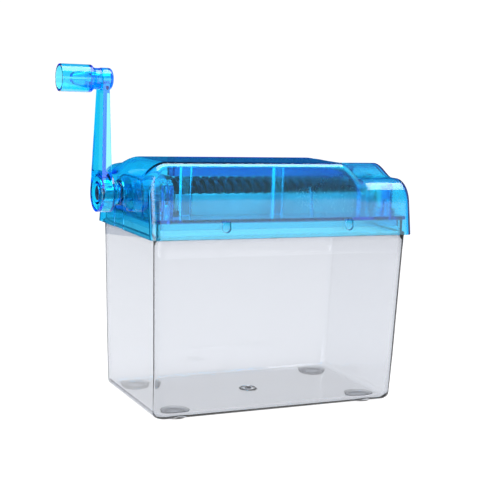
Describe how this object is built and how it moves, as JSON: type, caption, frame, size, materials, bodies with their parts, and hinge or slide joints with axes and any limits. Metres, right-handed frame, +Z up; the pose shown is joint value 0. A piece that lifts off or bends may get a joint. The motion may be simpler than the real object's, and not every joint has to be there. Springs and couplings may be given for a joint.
{
  "type": "hand-crank paper shredder",
  "caption": "Hand-crank desktop paper shredder: translucent blue head with interleaved cutter rollers and a side crank, lifting off a clear tapered bin.",
  "frame": {"origin": "middle of the whole outline seen from above, crank and knob included, on the table plane under the feet", "axes": "+X along the cutter rollers, away from the crank; +Y to the back; +Z up"},
  "size_m": [0.21, 0.0994, 0.2037],
  "materials": {
    "clear_bin": "clear polystyrene, polished mould",
    "bumper": "clear soft bumper",
    "blue_cover": "translucent blue, polished mould",
    "blue_chassis": "translucent deep blue",
    "blue_inner": "translucent light blue",
    "blue_crank": "translucent blue, polished mould",
    "roller_steel": "ground steel",
    "comb_steel": "rolled steel sheet",
    "shaft_steel": "turned steel",
    "bush_brass": "sintered bronze",
    "gear_plastic": "moulded acetal",
    "screw_steel": "zinc plated",
    "clip_steel": "blackened spring steel"
  },
  "bodies": {
    "bin": {"bin": "clear_bin", "bumper_feet": "bumper"},
    "head": {"head_cover": "blue_cover", "chassis_plate": "blue_chassis", "snap_tongues": "blue_inner", "shaft_tongue": "blue_inner", "paper_chute": "blue_chassis", "left_side_plate": "blue_inner", "right_side_plate": "blue_inner", "gear_cover": "blue_inner", "front_comb": "comb_steel", "rear_comb": "comb_steel", "front_posts": "blue_inner", "shaft_bushes": "bush_brass", "crank_bush": "blue_chassis", "cover_screws": "screw_steel", "chassis_screws": "screw_steel"},
    "crank": {"drive_shaft": "shaft_steel", "drive_discs": "roller_steel", "drive_spacers": "roller_steel", "drive_gear": "gear_plastic", "drive_clip": "clip_steel", "crank_arm": "blue_crank", "crank_screw": "screw_steel", "knob_spindle": "blue_crank"},
    "knob": {"crank_knob": "blue_crank"},
    "driven_roller": {"driven_shaft": "shaft_steel", "driven_discs": "roller_steel", "driven_spacers": "roller_steel", "driven_gear": "gear_plastic", "driven_clip": "clip_steel"}
  },
  "joints": [
    {"name": "head_lift", "type": "slide", "parent": "bin", "child": "head", "axis": [0, 0, 1], "range_m": [0, 0.12]},
    {"name": "crank_turn", "type": "hinge", "parent": "head", "child": "crank", "pos_m": [-0.0675, 0.0085, 0.1288], "axis": [1, 0, 0], "continuous": true},
    {"name": "knob_spin", "type": "hinge", "parent": "crank", "child": "knob", "pos_m": [-0.0804, 0.0085, 0.1957], "axis": [1, 0, 0], "continuous": true},
    {"name": "driven_spin", "type": "hinge", "parent": "head", "child": "driven_roller", "pos_m": [-0.0675, -0.0095, 0.1288], "axis": [1, 0, 0], "continuous": true}
  ],
  "couplings": [
    {"joint": "driven_spin", "follows": "crank_turn", "ratio": -1}
  ]
}
